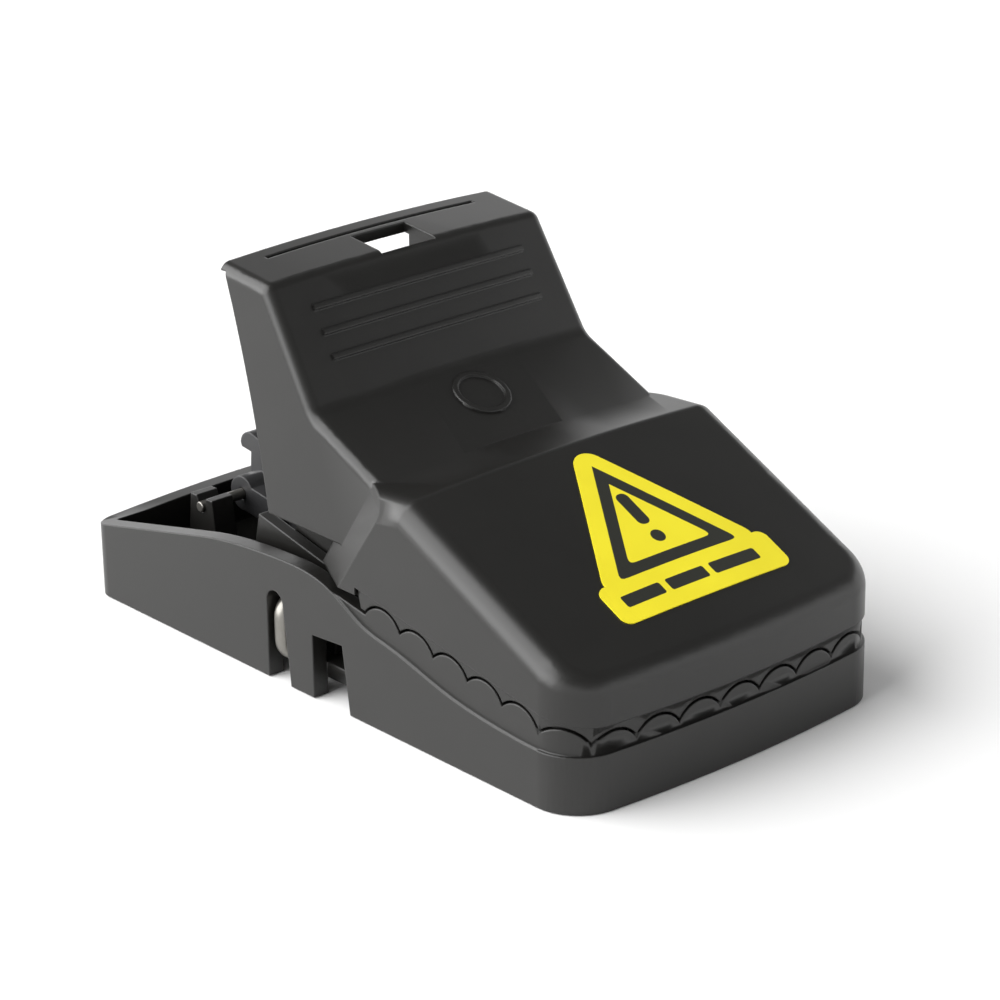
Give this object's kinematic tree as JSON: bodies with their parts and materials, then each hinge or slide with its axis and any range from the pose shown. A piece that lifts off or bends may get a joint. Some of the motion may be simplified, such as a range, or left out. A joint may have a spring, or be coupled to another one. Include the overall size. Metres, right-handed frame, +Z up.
{
  "type": "snap trap",
  "caption": "Clamshell snap trap: toothed base, sprung upper jaw with a press tab, pivoting trigger pedal and a removable bait cup.",
  "frame": {"origin": "middle of the base's footprint, on the surface that the trap stands on", "axes": "+X from the tail to the toothed mouth, +Y to the left seen from the tail, +Z up"},
  "size_m": [0.14, 0.077, 0.0761],
  "materials": {
    "black_plastic": "moulded black plastic with a fine satin grain",
    "trigger_plastic": "moulded black plastic, slightly glossier",
    "steel_wire": "drawn steel wire, lightly dulled",
    "spring_steel": "drawn spring steel, oiled",
    "sticker_film": "printed yellow and black film"
  },
  "bodies": {
    "base": {"base": "black_plastic", "hinge_axle": "steel_wire", "main_spring_left": "spring_steel", "main_spring_right": "spring_steel", "trigger_pin": "steel_wire"},
    "jaw": {"upper_jaw": "black_plastic", "sticker": "sticker_film"},
    "trigger": {"trigger": "trigger_plastic"},
    "cup": {"bait_cup": "trigger_plastic"}
  },
  "joints": [
    {"name": "jaw_hinge", "type": "hinge", "parent": "base", "child": "jaw", "pos_m": [-0.0126, 0, 0.015], "axis": [0, -1, 0], "range_deg": [0, 70], "stiffness_Nm_per_rad": 0.3, "springref_deg": -45.84, "deforming": ["main_spring_left", "main_spring_right"]},
    {"name": "trigger_pivot", "type": "hinge", "parent": "base", "child": "trigger", "pos_m": [-0.0595, 0, 0.0156], "axis": [0, -1, 0], "range_deg": [0, 6]},
    {"name": "bait_cup_slide", "type": "slide", "parent": "base", "child": "cup", "axis": [0, 0, -1], "range_m": [0, 0.012]}
  ]
}
